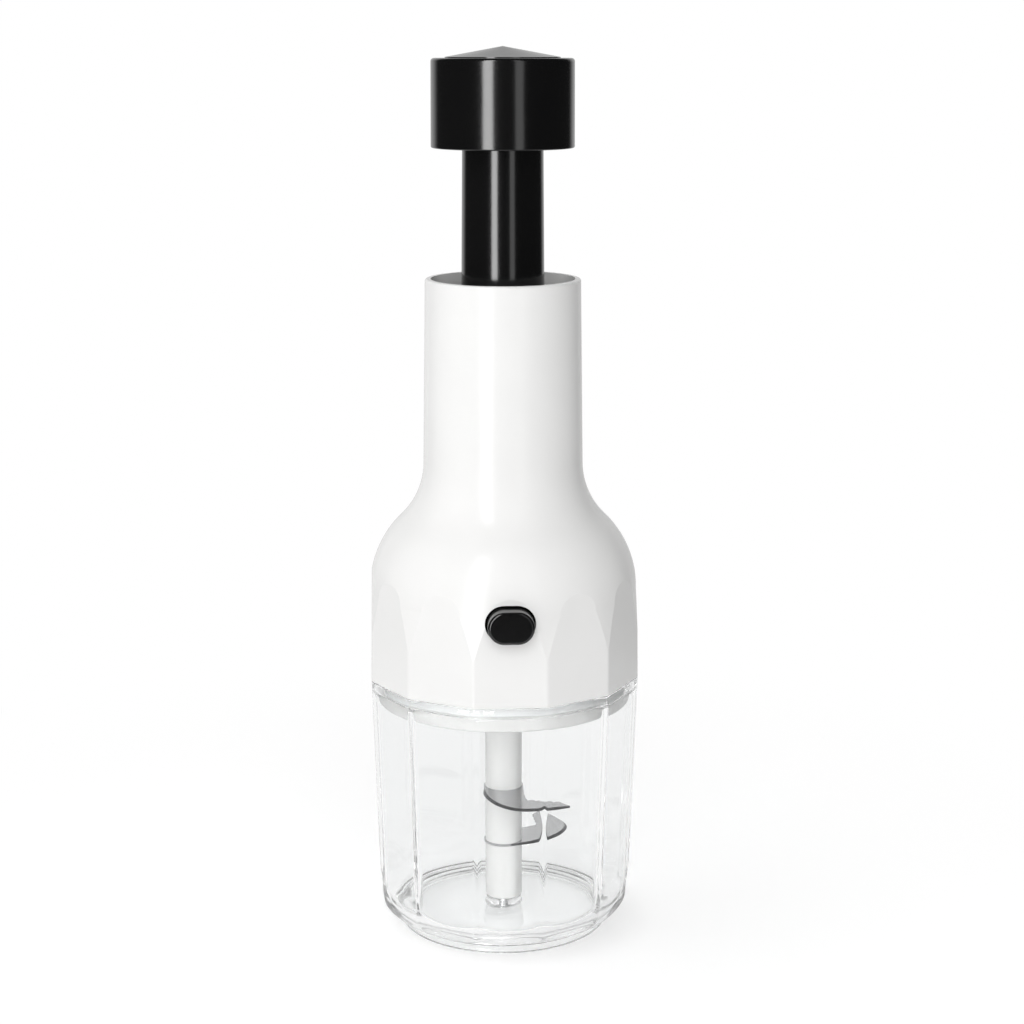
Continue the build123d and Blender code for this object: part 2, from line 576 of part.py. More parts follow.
def latch_window(gap):
    width = LATCH_WIDTH + 2 * gap
    height = LATCH_THICK + 2 * gap
    return block(width, -LATCH_PAD_Y, height, y=LATCH_PAD_Y / 2, z=BUTTON_Z)


def guide_sleeve():
    """Guides the nut's ears in two keyways and carries the latch's window."""
    body = ring(SLEEVE_R, 0, SLEEVE_LOW_Z, SLEEVE_TOP_Z)
    body += ring(SLEEVE_FLANGE_R, 0, SLEEVE_FLANGE_Z, SLEEVE_FLANGE_Z + SLEEVE_FLANGE_T)
    pad_width = LATCH_WIDTH + 2 * LATCH_PAD_RIM
    pad_height = 2 * (BUTTON_SPRING_R + LATCH_PAD_DEPTH)
    body += block(pad_width, -LATCH_PAD_Y, pad_height, y=LATCH_PAD_Y / 2, z=BUTTON_Z)
    body -= ring(SLEEVE_BORE_R, 0, SLEEVE_LOW_Z, SLEEVE_TOP_Z)
    key_low_z = NUT_PRESSED_Z - KEYWAY_SPARE
    key_span = 2 * (NUT_EAR_R + KEYWAY_GAP)
    key_width = NUT_EAR_WIDTH + 2 * KEYWAY_GAP
    body -= block(key_span, key_width, SLEEVE_TOP_Z - key_low_z, z=(SLEEVE_TOP_Z + key_low_z) / 2)
    for place in around(SLEEVE_SCREW_COUNT, SLEEVE_SCREW_CIRCLE):
        body -= place * ring(SCREW_R + SCREW_GAP, 0, SLEEVE_FLANGE_Z, SLEEVE_FLANGE_Z + SLEEVE_FLANGE_T)
    return body - latch_window(LATCH_GAP)


def collar_bush():
    """Steers the plunger tube and stops the nut's flange at the top of the stroke."""
    bore_r = TUBE_LOW_R + COLLAR_GAP
    body = ring(SLEEVE_BORE_R, bore_r, COLLAR_LOW_Z, SLEEVE_TOP_Z)
    return body + ring(SLEEVE_R, bore_r, SLEEVE_TOP_Z, SHELF_LOW_Z)


def bearing_bush():
    bore_r = HUB_R + BUSH_GAP
    body = ring(BUSH_R, bore_r, BUSH_LOW_Z, PLUG_BOSS_TOP_Z)
    return body + ring(BUSH_FLANGE_R, bore_r, PLUG_BOSS_TOP_Z, BUSH_TOP_Z)


def coil(radius, wire_r, height, turns):
    """A helical wire round the Z axis, from z = 0 up, between its wire's centres."""
    path = Helix(height / turns, height, radius)
    section = Plane(path @ 0, z_dir=path % 0) * Circle(wire_r)
    return sweep(section, path, is_frenet=True)


def return_spring():
    low_z = BUSH_TOP_Z + SPRING_WIRE_R + SPRING_SEAT_GAP
    high_z = NUT_LOW_Z - SPRING_WIRE_R - SPRING_SEAT_GAP
    return Pos(0, 0, low_z) * coil(SPRING_R, SPRING_WIRE_R, high_z - low_z, SPRING_TURNS)


# ---- drive ---------------------------------------------------------------------------------------
def twisted_bar(width, thick, low_z, high_z):
    """A flat bar twisted round the axis. Its flats lie along X at the top of the hub."""
    start = 360 * (low_z - HUB_TOP_Z) / ROD_LEAD
    section = Rot(0, 0, start) * Rectangle(width, thick)
    length = high_z - low_z
    twist = 360 * length / ROD_LEAD
    bar = Solid.extrude_linear_with_rotation(section.face(), (0, 0, 0), (0, 0, length), twist)
    return Pos(0, 0, low_z) * Part(bar.wrapped)


def twist_rod():
    tang_h = HUB_TOP_Z - TANG_LOW_Z
    tang = block(ROD_WIDTH, ROD_THICK, tang_h, z=TANG_LOW_Z + tang_h / 2)
    return tang + twisted_bar(ROD_WIDTH, ROD_THICK, HUB_TOP_Z, ROD_TOP_Z)


def drive_hub():
    """Journal and hexagonal drive in one, slotted on top for the rod's tang."""
    body = hex_bar(DRIVE_FLATS, DRIVE_LOW_Z, DRIVE_TOP_Z)
    body = chamfer(body.edges().group_by(Axis.Z)[0], DRIVE_CHAMFER)
    body += ring(HUB_R, 0, DRIVE_TOP_Z, HUB_FLANGE_Z)
    body += ring(HUB_FLANGE_R, 0, HUB_FLANGE_Z, HUB_TOP_Z)
    body -= ring(HUB_R, CLIP_GROOVE_R, CLIP_Z, CLIP_Z + CLIP_T)
    tang_h = HUB_TOP_Z - TANG_LOW_Z
    return body - block(ROD_WIDTH, ROD_THICK, tang_h, z=TANG_LOW_Z + tang_h / 2)


def thrust_washer():
    return ring(HUB_FLANGE_R, HUB_R + BUSH_GAP, BUSH_TOP_Z, HUB_FLANGE_Z)


def retaining_clip():
    """An open ring that snaps into the hub's groove under the bush."""
    body = ring(CLIP_R, CLIP_GROOVE_R, CLIP_Z, CLIP_Z + CLIP_T)
    return body - block(CLIP_R, CLIP_GROOVE_R, 2 * CLIP_T, x=CLIP_R, z=CLIP_Z + CLIP_T)


# ---- plunger -------------------------------------------------------------------------------------
def plunger_tube():
    outline = Polyline((0, NUT_FLANGE_TOP_Z), (TUBE_LOW_R, NUT_FLANGE_TOP_Z), (TUBE_HIGH_R, KNOB_LOW_Z),
                       (TUBE_HIGH_R, TUBE_TOP_Z), (0, TUBE_TOP_Z), close=True)
    body = turned(outline)
    body -= ring(TUBE_BORE_R, 0, NUT_FLANGE_TOP_Z, TUBE_TOP_Z - TUBE_WEB_T)
    body -= ring(KNOB_SCREW_R, 0, TUBE_TOP_Z - TUBE_WEB_T, TUBE_TOP_Z)
    return body - nut_pin_bar(TUBE_LOW_R)


def nut_pin_bar(reach):
    return Pos(0, 0, NUT_PIN_Z) * Rot(90, 0, 0) * Cylinder(NUT_PIN_R, 2 * reach)


def nut_pins():
    """Two pins lock the nut's spigot into the tube."""
    bar = nut_pin_bar(TUBE_LOW_R - NUT_PIN_INSET)
    bar -= ring(NUT_SPIGOT_BORE_R + NUT_PIN_PROUD, 0, NUT_FLANGE_TOP_Z, NUT_FLANGE_TOP_Z + NUT_SPIGOT_H)
    return bar.solids()


def drive_nut():
    body = ring(NUT_FLANGE_R, 0, NUT_LOW_Z, NUT_FLANGE_TOP_Z)
    body += block(2 * NUT_EAR_R, NUT_EAR_WIDTH, NUT_FLANGE_T, z=NUT_LOW_Z + NUT_FLANGE_T / 2)
    spigot_top_z = NUT_FLANGE_TOP_Z + NUT_SPIGOT_H
    body += ring(TUBE_BORE_R, NUT_SPIGOT_BORE_R, NUT_FLANGE_TOP_Z, spigot_top_z)
    slot = (ROD_WIDTH + 2 * NUT_GAP, ROD_THICK + 2 * NUT_GAP)
    body -= twisted_bar(*slot, NUT_LOW_Z - NUT_GAP, NUT_FLANGE_TOP_Z + NUT_GAP)
    return body - nut_pin_bar(TUBE_LOW_R)


def knob_shell():
    """Round knob, open below, with a socket for the tube and a seat for its cap."""
    outline = Polyline((0, KNOB_LOW_Z), (KNOB_LOW_R, KNOB_LOW_Z), (KNOB_HIGH_R, KNOB_HIGH_Z),
                       (0, KNOB_HIGH_Z), close=True)
    body = turned(outline)
    body = fillet(body.edges().group_by(Axis.Z)[-1], KNOB_EDGE)
    body = fillet(body.edges().group_by(Axis.Z)[0], KNOB_EDGE / 2)
    under_z = KNOB_HIGH_Z - KNOB_TOP_T
    body -= ring(KNOB_HIGH_R - KNOB_WALL, KNOB_SOCKET_R, KNOB_LOW_Z, under_z)
    body -= ring(KNOB_SOCKET_R, 0, KNOB_LOW_Z, KNOB_LOW_Z + KNOB_BASE_T)
    body -= ring(TUBE_HIGH_R + KNOB_FIT, 0, KNOB_LOW_Z, under_z)
    body -= ring(CAP_R + KNOB_FIT, 0, KNOB_HIGH_Z - CAP_DEPTH, KNOB_HIGH_Z)
    body -= ring(KNOB_SCREW_HEAD_R + SCREW_GAP, 0, KNOB_SCREW_HEAD_Z, KNOB_HIGH_Z)
    return body - ring(KNOB_SCREW_R + SCREW_GAP, 0, under_z, KNOB_HIGH_Z)


def knob_base():
    """Thin disc that closes the knob from below, round the tube."""
    return ring(KNOB_HIGH_R - KNOB_WALL, TUBE_HIGH_R + KNOB_FIT, KNOB_LOW_Z, KNOB_LOW_Z + KNOB_BASE_T)


def knob_cap():
    """Shallow cone that covers the screw."""
    low_z = KNOB_HIGH_Z - CAP_DEPTH
    edge_z = KNOB_HIGH_Z + CAP_LIP
    apex_z = KNOB_HIGH_Z + CAP_HEIGHT
    outline = Polyline((0, low_z), (CAP_R, low_z), (CAP_R, edge_z), (0, apex_z), close=True)
    return turned(outline)


def knob_screw():
    top_z = KNOB_SCREW_HEAD_Z + KNOB_SCREW_HEAD_T
    head = ring(KNOB_SCREW_HEAD_R, 0, KNOB_SCREW_HEAD_Z, top_z)
    shank = ring(KNOB_SCREW_R, 0, KNOB_SCREW_HEAD_Z - KNOB_SCREW_LENGTH, KNOB_SCREW_HEAD_Z)
    return head + shank - screw_cross(KNOB_SCREW_HEAD_R, KNOB_SCREW_R, KNOB_SCREW_HEAD_T, top_z)


# ---- button --------------------------------------------------------------------------------------
def latch_outer_y():
    return BUTTON_FLANGE_Y - LATCH_SOCKET + BUTTON_FLANGE_T


def release_button():
    face_y = FACET_Y - BUTTON_STAND
    taper_deg = degrees(atan(BUTTON_TAPER / BUTTON_STAND))
    body = button_bar(BUTTON_LENGTH, BUTTON_HEIGHT, BUTTON_FLANGE_Y, FACET_Y)
    body += button_bar(BUTTON_LENGTH, BUTTON_HEIGHT, FACET_Y, face_y, taper=taper_deg)
    body = fillet(body.edges().group_by(Axis.Y)[0], BUTTON_EDGE)
    rim = 2 * BUTTON_FLANGE_RIM
    back_y = BUTTON_FLANGE_Y + BUTTON_FLANGE_T
    body += button_bar(BUTTON_LENGTH + rim, BUTTON_HEIGHT + rim, back_y, BUTTON_FLANGE_Y)
    socket_y = latch_outer_y()
    depth = back_y - socket_y
    return body - block(LATCH_WIDTH, depth, LATCH_THICK, y=socket_y + depth / 2, z=BUTTON_Z)


def latch_slide():
    """Flat bar from the button to the sleeve; pushed in, its tip holds the nut's flange down."""
    outer_y = latch_outer_y()
    tip_y = -(TUBE_LOW_R + LATCH_TUBE_GAP + BUTTON_TRAVEL)
    return block(LATCH_WIDTH, tip_y - outer_y, LATCH_THICK, y=(tip_y + outer_y) / 2, z=BUTTON_Z)


def button_spring():
    start_y = LATCH_PAD_Y - BUTTON_SPRING_WIRE_R - SPRING_SEAT_GAP
    end_y = BUTTON_FLANGE_Y + BUTTON_FLANGE_T + BUTTON_SPRING_WIRE_R + SPRING_SEAT_GAP
    wire = coil(BUTTON_SPRING_R, BUTTON_SPRING_WIRE_R, start_y - end_y, BUTTON_SPRING_TURNS)
    return Pos(0, start_y, BUTTON_Z) * Rot(90, 0, 0) * wire


def main():
    os.makedirs("parts", exist_ok=True)
    save("cup", cup())
    save("pivot_pin", pivot_pin())
    save("shaft_foot", shaft_foot())
    save("blade_spacer", blade_spacer())
    save("shaft_top", shaft_top())
    save("blade_core", blade_core())
    save("upper_blade", blade(UPPER_BLADE_Z, 0))
    save("lower_blade", blade(LOWER_BLADE_Z, BLADE_TURN))
    save("housing_shell", housing_shell())
    save("base_plate", base_plate())
    save("seal_ring", seal_ring())
    save("base_screws", Compound(children=base_screws()))
    save("guide_sleeve", guide_sleeve())
    save("sleeve_screws", Compound(children=sleeve_screws()))
    save("collar_bush", collar_bush())
    save("bearing_bush", bearing_bush())
    save("return_spring", return_spring())
    save("twist_rod", twist_rod())
    save("drive_hub", drive_hub())
    save("thrust_washer", thrust_washer())
    save("retaining_clip", retaining_clip())
    save("plunger_tube", plunger_tube())
    save("drive_nut", drive_nut())
    save("nut_pins", Compound(children=nut_pins()))
    save("knob_shell", knob_shell())
    save("knob_base", knob_base())
    save("knob_cap", knob_cap())
    save("knob_screw", knob_screw())
    save("release_button", release_button())
    save("latch_slide", latch_slide())
    save("button_spring", button_spring())


main()
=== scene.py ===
"""The looks of the plunger food chopper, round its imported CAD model. Metres, +Z up, the button faces -Y."""

import json
import math

import bpy
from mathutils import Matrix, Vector
from mathutils.geometry import tessellate_polygon


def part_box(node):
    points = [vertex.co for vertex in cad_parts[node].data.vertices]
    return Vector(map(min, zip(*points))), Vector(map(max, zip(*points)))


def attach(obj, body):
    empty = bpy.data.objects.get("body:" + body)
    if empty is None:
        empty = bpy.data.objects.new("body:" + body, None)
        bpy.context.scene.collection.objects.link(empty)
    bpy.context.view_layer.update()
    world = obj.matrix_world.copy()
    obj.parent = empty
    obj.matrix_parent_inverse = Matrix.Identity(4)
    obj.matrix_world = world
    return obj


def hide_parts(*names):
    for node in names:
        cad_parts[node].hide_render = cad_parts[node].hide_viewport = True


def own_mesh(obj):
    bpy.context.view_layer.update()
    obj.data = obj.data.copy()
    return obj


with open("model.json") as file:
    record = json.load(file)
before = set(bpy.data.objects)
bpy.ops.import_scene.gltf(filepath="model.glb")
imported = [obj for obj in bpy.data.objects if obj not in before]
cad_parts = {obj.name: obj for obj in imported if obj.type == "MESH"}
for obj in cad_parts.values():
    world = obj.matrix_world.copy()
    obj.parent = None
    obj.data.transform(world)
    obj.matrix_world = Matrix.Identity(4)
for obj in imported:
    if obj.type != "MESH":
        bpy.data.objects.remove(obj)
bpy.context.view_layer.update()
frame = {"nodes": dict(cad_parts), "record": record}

# ---- camera: the photograph's viewpoint -----------------------------------------------------------
CAMERA_DISTANCE = 0.6435       # from the object's axis
CAMERA_HEIGHT = 0.2738
CAMERA_AZIMUTH = -3.0          # degrees; 0 looks along +Y
CAMERA_PITCH = 12.4            # degrees down
CAMERA_YAW = 0.245             # degrees right of the axis
FOCAL_PIXELS = 2127
PHOTO_WIDTH = 1024
SENSOR_MM = 36
CLIP_END = 20


def make_camera():
    azimuth = math.radians(CAMERA_AZIMUTH)
    heading = azimuth - math.radians(CAMERA_YAW)
    data = bpy.data.cameras.new("camera")
    data.sensor_width = SENSOR_MM
    data.lens = SENSOR_MM * FOCAL_PIXELS / PHOTO_WIDTH
    data.clip_end = CLIP_END
    camera = bpy.data.objects.new("camera", data)
    camera.location = (CAMERA_DISTANCE * math.sin(azimuth), -CAMERA_DISTANCE * math.cos(azimuth),
                       CAMERA_HEIGHT)
    camera.rotation_euler = (math.radians(90 - CAMERA_PITCH), 0, heading)
    bpy.context.collection.objects.link(camera)
    bpy.context.scene.camera = camera


bpy.context.scene.view_settings.view_transform = "Standard"
make_camera()


# ---- materials -------------------------------------------------------------------------------------
TONE_SCALE = 35                # scales of the noise, per metre: slow shifts of tone
WAVE_SCALE = 60                # the waviness of a moulded face
FLOW_SCALE = 500               # flow marks in the clear plastic
GLOSS_SCALE = 900              # fine shifts of gloss
WAVE = 0.00003                 # heights in metres
GRIND_DEPTH = 0.00001
GRIND_DETAIL = 5.0
GRIND_DARK = 0.8               # the dark grinding lines' share of the steel's tint
TONE_BAND = (0.3, 0.7)         # of the noise, over which the tone changes
ALONG_BLADE = (6000, 250, 6000)
ALONG_ROD = (300, 300, 5000)
ROUND_WIRE = (900, 900, 900)
CLEAR_TINT = (0.961, 0.966, 0.966, 1)
CLEAR_SHADE = (0.975, 0.98, 0.98, 1)   # what a lamp's light keeps when it passes one face of the cup
CLEAR_IOR = 1.5
CLEAR_ROUGH = 0.02


def new_material(name):
    material = bpy.data.materials.new(name)
    material.use_nodes = True
    tree = material.node_tree
    shader = tree.nodes["Principled BSDF"]
    return material, tree, shader


def object_noise(tree, scale, detail=3.0):
    """Noise in object space, which is the model's own frame."""
    place = tree.nodes.new("ShaderNodeTexCoord")
    noise = tree.nodes.new("ShaderNodeTexNoise")
    noise.inputs["Scale"].default_value = scale
    noise.inputs["Detail"].default_value = detail
    tree.links.new(place.outputs["Object"], noise.inputs["Vector"])
    return noise.outputs["Fac"]


def spread(tree, value, low, high):
    """Maps a 0 to 1 value to a range."""
    node = tree.nodes.new("ShaderNodeMapRange")
    node.inputs["To Min"].default_value = low
    node.inputs["To Max"].default_value = high
    tree.links.new(value, node.inputs["Value"])
    return node.outputs["Result"]


def colours(tree, value, low, high):
    ramp = tree.nodes.new("ShaderNodeValToRGB")
    for stop, colour, position in zip(ramp.color_ramp.elements, (low, high), TONE_BAND):
        stop.color = (*colour, 1)
        stop.position = position
    tree.links.new(value, ramp.inputs["Fac"])
    return ramp.outputs["Color"]


def add_bump(tree, shader, value, distance):
    bump = tree.nodes.new("ShaderNodeBump")
    bump.inputs["Strength"].default_value = 1.0
    bump.inputs["Distance"].default_value = distance
    tree.links.new(value, bump.inputs["Height"])
    tree.links.new(bump.outputs["Normal"], shader.inputs["Normal"])


def moulded(name, low, high, rough, ior=1.5, specular=0.5, wave=WAVE):
    """Moulded plastic: the tone and the roughness shift over their ranges, and the face is faintly wavy."""
    material, tree, shader = new_material(name)
    slow = object_noise(tree, TONE_SCALE)
    tree.links.new(colours(tree, slow, low, high), shader.inputs["Base Color"])
    fine = object_noise(tree, GLOSS_SCALE)
    tree.links.new(spread(tree, fine, *rough), shader.inputs["Roughness"])
    add_bump(tree, shader, object_noise(tree, WAVE_SCALE, 1.0), wave)
    shader.inputs["IOR"].default_value = ior
    shader.inputs["Specular IOR Level"].default_value = specular
    return material


white_gloss = moulded("white_gloss", (0.872, 0.870, 0.862), (0.895, 0.893, 0.885), rough=(0.16, 0.22),
                      specular=0.2)
black_gloss = moulded("black_gloss", (0.0030, 0.0030, 0.0032), (0.0042, 0.0042, 0.0044), rough=(0.13, 0.18),
                      ior=1.62, wave=0.00007)
# a darker copy of the white gloss for the base plate seen inside the cup: painted shade
shaded_white_gloss = moulded("shaded_white_gloss", (0.74, 0.738, 0.73), (0.77, 0.768, 0.76), rough=(0.16, 0.22),
                     specular=0.2)
white_nylon = moulded("white_nylon", (0.85, 0.848, 0.84), (0.88, 0.878, 0.87), rough=(0.2, 0.28),
                      specular=0.3)
natural_plastic = moulded("natural_plastic", (0.70, 0.69, 0.64), (0.76, 0.75, 0.70), rough=(0.35, 0.45))
bearing_plastic = moulded("bearing_plastic", (0.62, 0.60, 0.54), (0.68, 0.66, 0.60), rough=(0.4, 0.5))
seal_silicone = moulded("seal_silicone", (0.78, 0.79, 0.79), (0.84, 0.85, 0.85), rough=(0.45, 0.6))


def ground_steel(name, tint, rough, stretch):
    """Steel with fine grinding lines, drawn out along the axis with the smallest stretch."""
    material, tree, shader = new_material(name)
    shader.inputs["Metallic"].default_value = 1.0
    place = tree.nodes.new("ShaderNodeTexCoord")
    mapping = tree.nodes.new("ShaderNodeMapping")
    mapping.inputs["Scale"].default_value = stretch
    noise = tree.nodes.new("ShaderNodeTexNoise")
    noise.inputs["Scale"].default_value = 1.0
    noise.inputs["Detail"].default_value = GRIND_DETAIL
    tree.links.new(place.outputs["Object"], mapping.inputs["Vector"])
    tree.links.new(mapping.outputs["Vector"], noise.inputs["Vector"])
    lines = noise.outputs["Fac"]
    dark = tuple(GRIND_DARK * channel for channel in tint)
    tree.links.new(colours(tree, lines, dark, tint), shader.inputs["Base Color"])
    tree.links.new(spread(tree, lines, *rough), shader.inputs["Roughness"])
    add_bump(tree, shader, lines, GRIND_DEPTH)
    return material


blade_steel = ground_steel("blade_steel", (0.50, 0.50, 0.505), (0.08, 0.15), ALONG_BLADE)
# the blade's steel painted nearly black on the ground bevel: painted shade for the dark line along the
# cutting edge
shaded_bevel_steel = ground_steel("shaded_bevel_steel", (0.09, 0.09, 0.095), (0.2, 0.35), ALONG_BLADE)
steel = ground_steel("steel", (0.62, 0.62, 0.63), (0.2, 0.35), ALONG_ROD)
spring_steel = ground_steel("spring_steel", (0.55, 0.55, 0.57), (0.18, 0.3), ROUND_WIRE)


def clear_plastic_material():
    """Clear moulded plastic with the faintest flow marks, which lets lamplight through."""
    material, tree, shader = new_material("clear_plastic")
    shader.inputs["Base Color"].default_value = CLEAR_TINT
    shader.inputs["Transmission Weight"].default_value = 1.0
    shader.inputs["IOR"].default_value = CLEAR_IOR
    flow = object_noise(tree, FLOW_SCALE)
    tree.links.new(spread(tree, flow, 0.0, CLEAR_ROUGH), shader.inputs["Roughness"])
    through = tree.nodes.new("ShaderNodeBsdfTransparent")
    through.inputs["Color"].default_value = CLEAR_SHADE
    path = tree.nodes.new("ShaderNodeLightPath")
    mix = tree.nodes.new("ShaderNodeMixShader")
    tree.links.new(path.outputs["Is Shadow Ray"], mix.inputs["Fac"])
    tree.links.new(shader.outputs["BSDF"], mix.inputs[1])
    tree.links.new(through.outputs["BSDF"], mix.inputs[2])
    tree.links.new(mix.outputs["Shader"], tree.nodes["Material Output"].inputs["Surface"])
    return material


clear_plastic = clear_plastic_material()

MATERIALS = {
    "clear_plastic": clear_plastic,
    "white_gloss": white_gloss,
    "black_gloss": black_gloss,
    "white_nylon": white_nylon,
    "natural_plastic": natural_plastic,
    "bearing_plastic": bearing_plastic,
    "seal_silicone": seal_silicone,
    "blade_steel": blade_steel,
    "steel": steel,
    "spring_steel": spring_steel,
}
OWN_MATERIALS = {"base_plate": shaded_white_gloss}


def finish_cad_nodes():
    """Each CAD node takes the material of its slot in the record, except the base plate, which takes a darker
    copy of the white gloss as painted shade.
    """
    for subpart in frame["record"]["subparts"]:
        node = frame["nodes"][subpart["node"]]
        material = OWN_MATERIALS.get(subpart["node"], MATERIALS[subpart["material_slot"]])
        for slot in node.material_slots:
            slot.material = material
        if not node.material_slots:
            node.data.materials.append(material)


finish_cad_nodes()


# ---- cup: the same form as its CAD node, with even columns so that its facets refract cleanly ------
MM = 0.001
SIDES = 12
HALF_FACET = math.pi / SIDES
JOIN_Z = 81.8                  # the lengths of this section are in millimetres
JOIN_CORNER_R = 42.75
CUP_DRAFT = 0.033
CUP_OUTER_ROUND = 2.2
CUP_INNER_ROUND = 4.0
CUP_WALL = 3.2
CUP_RIM_Z = 81.6
CUP_LEDGE_Z = 78.0
CUP_BORE_R = 39.1
CUP_FLOOR_Z = 5.05
CUP_UNDER_Z = 2.0
CUP_BOSS_R = 5.6
CUP_BOSS_Z = 7.1
CUP_BASE_ROUND = 8.0
CUP_BASE_Z = 11.64
CUP_BOWL_ROUND = 10.0
FOOT_R = 32.875
FOOT_WALL = 3.0
PIN_HOLE_R = 1.63
PIN_HEAD_R = 3.23
PIN_HEAD_Z = 3.13
CUP_BOWL_BLEND = 0.8           # softness of the edge between the facets and the turned bowl inside
CUP_BASE_BLEND = 3.0           # and between the facets and the turned round under them
CUP_BASE_FLARE = 24.0          # how slowly the turned round leaves the wall above its start
PIN_HOLE_ROUND = 0.2
CUP_BOSS_ROUND = 0.4
CUP_BOSS_FILLET = 0.5
CUP_LEDGE_ROUND = 0.25
CUP_RIM_BORE_ROUND = 0.3
CUP_RIM_ROUND = 0.4
FOOT_FILLET = 0.45             # between the foot ring and the base above it
FOOT_FILLET_DROP = 0.35        # from the base to that fillet's middle
FOOT_OUTER_ROUND = 0.8
FOOT_INNER_ROUND = 0.6
FOOT_ROOF_FILLET = 0.4
BOWL_ROWS_Z = (15.6, 16.6, 19, 26, 36, 48, 60, 70, 75, 77, 77.6)     # rows of the grid on the walls
WALL_ROWS_Z = (81.0, 78, 70, 58, 46, 36)
BASE_ROWS_Z = (30, 27, 25, 23, 21.5, 20, 18.5, 17, 15.5, 14, 12.8)
BOWL_STEPS = 30                # rows round the bowl and round the base
BASE_STEPS = 28
BASE_ROUND_END = -80           # degrees; the foot ring meets the base there
FLOOR_ROW_R = 14               # rows on the flat floor and under it
UNDER_ROWS_R = (22, 12)
EDGE_ROW = 0.1                 # from an edge to the row that keeps its shading crisp
WIDE_EDGE_ROW = 0.3
CUP_BORE_INSET = 0.35          # the ledge's inner edge stays this far inside the bore
CUP_COLUMNS = (0, 0.2, 0.4, 0.6, 0.81, 1.0, 1.2, 1.4, 1.58, 1.75, 2.2, 4, 6.5, 9, 12)   # degrees
FACET_COS = math.cos(HALF_FACET)


def cup_corner_r(z):
    return JOIN_CORNER_R - CUP_DRAFT * (JOIN_Z - z)


def inner_corner_r(z):
    return cup_corner_r(z) - CUP_WALL / FACET_COS


def faceted_radius(corner_r, corner_round, angle):
    """From the axis to a twelve-sided outline with rounded corners, at an angle from the nearest corner."""
    apothem = corner_r * FACET_COS
    centre = (apothem - corner_round) / FACET_COS
    tangent = math.atan2(corner_round * math.sin(HALF_FACET), centre + corner_round * FACET_COS)
    if abs(angle) > tangent:
        return apothem / math.cos(HALF_FACET - abs(angle))
    return centre * math.cos(angle) + math.sqrt(corner_round**2 - (centre * math.sin(angle))**2)


def soft_lower(first, second, width):
    """The lower of two radii, blended where they meet."""
    overlap = max(width - abs(first - second), 0) / width
    return min(first, second) - overlap * overlap * width / 4


def arc_points(centre_r, centre_z, radius, start, end, steps):
    """Points on an arc from one angle to another: 0 is outwards and 90 upwards."""
    angles = [math.radians(start + (end - start) * i / steps) for i in range(steps + 1)]
    return [(centre_r + radius * math.cos(a), centre_z + radius * math.sin(a)) for a in angles]


def turned_rows(points):
    """Rows of the cup's grid that are plain circles: radius, height, and no facets."""
    return [(r, z, None, 0) for r, z in points]


def faceted_rows(points, corner_r, corner_round):
    """Rows that follow the lesser of a turned radius and a twelve-sided outline at their height."""
    return [(r, z, corner_r(z), corner_round) for r, z in points]


def corner_arc(r, z, to_r, to_z, start, end, steps=4):
    """A quarter round at the corner (r, z). Its middle lies off the corner by its radius, with a sign."""
    return arc_points(r + to_r, z + to_z, abs(to_r), start, end, steps)


def boss_rows():
    """From the pin's hole over the boss to its foot on the bowl's floor."""
    rows = [(PIN_HOLE_R, PIN_HEAD_Z), (PIN_HOLE_R, PIN_HEAD_Z + 2 * EDGE_ROW)]
    rows += [(PIN_HOLE_R, CUP_BOSS_Z - PIN_HOLE_ROUND - EDGE_ROW)]
    rows += corner_arc(PIN_HOLE_R, CUP_BOSS_Z, PIN_HOLE_ROUND, -PIN_HOLE_ROUND, 180, 90, 3)
    rows += corner_arc(CUP_BOSS_R, CUP_BOSS_Z, -CUP_BOSS_ROUND, -CUP_BOSS_ROUND, 90, 0)
    rows += corner_arc(CUP_BOSS_R, CUP_FLOOR_Z, CUP_BOSS_FILLET, CUP_BOSS_FILLET, 180, 270)
    return turned_rows(rows)


def bowl_rows():
    """The bowl's floor, its round and its faceted wall up to the ledge."""
    bowl_z = CUP_FLOOR_Z + CUP_BOWL_ROUND
    bowl_r = cup_corner_r(bowl_z) - CUP_WALL
    floor_r = bowl_r - CUP_BOWL_ROUND
    fillet_r = CUP_BOSS_R + CUP_BOSS_FILLET
    rows = turned_rows([(r, CUP_FLOOR_Z) for r in (fillet_r + WIDE_EDGE_ROW, FLOOR_ROW_R, floor_r - 1)])
    rows += faceted_rows(arc_points(floor_r, bowl_z, CUP_BOWL_ROUND, -90, 0, BOWL_STEPS),
                         inner_corner_r, CUP_INNER_ROUND)
    spread_r = (JOIN_CORNER_R - bowl_r) / (CUP_LEDGE_Z - bowl_z)
    wall = [(bowl_r + spread_r * (z - bowl_z), z) for z in BOWL_ROWS_Z]
    return rows + faceted_rows(wall, inner_corner_r, CUP_INNER_ROUND)


def rim_rows():
    """The ledge, the turned bore above it that takes the housing's plug, and the rim."""
    ledge = corner_arc(inner_corner_r(CUP_LEDGE_Z), CUP_LEDGE_Z, CUP_LEDGE_ROUND, -CUP_LEDGE_ROUND, 180, 90)
    bore = corner_arc(CUP_BORE_R, CUP_LEDGE_Z, -CUP_LEDGE_ROUND, CUP_LEDGE_ROUND, -90, 0)
    bore += [(CUP_BORE_R, CUP_LEDGE_Z + 2 * CUP_LEDGE_ROUND), (CUP_BORE_R, CUP_RIM_Z - 2 * CUP_LEDGE_ROUND)]
    bore += corner_arc(CUP_BORE_R, CUP_RIM_Z, CUP_RIM_BORE_ROUND, -CUP_RIM_BORE_ROUND, 180, 90)
    rim = corner_arc(cup_corner_r(CUP_RIM_Z), CUP_RIM_Z, -CUP_RIM_ROUND, -CUP_RIM_ROUND, 90, 0)
    return ([(CUP_BORE_R - CUP_BORE_INSET, z, r, CUP_INNER_ROUND) for r, z in ledge]
            + turned_rows(bore) + [(None, z, r, CUP_OUTER_ROUND) for r, z in rim])


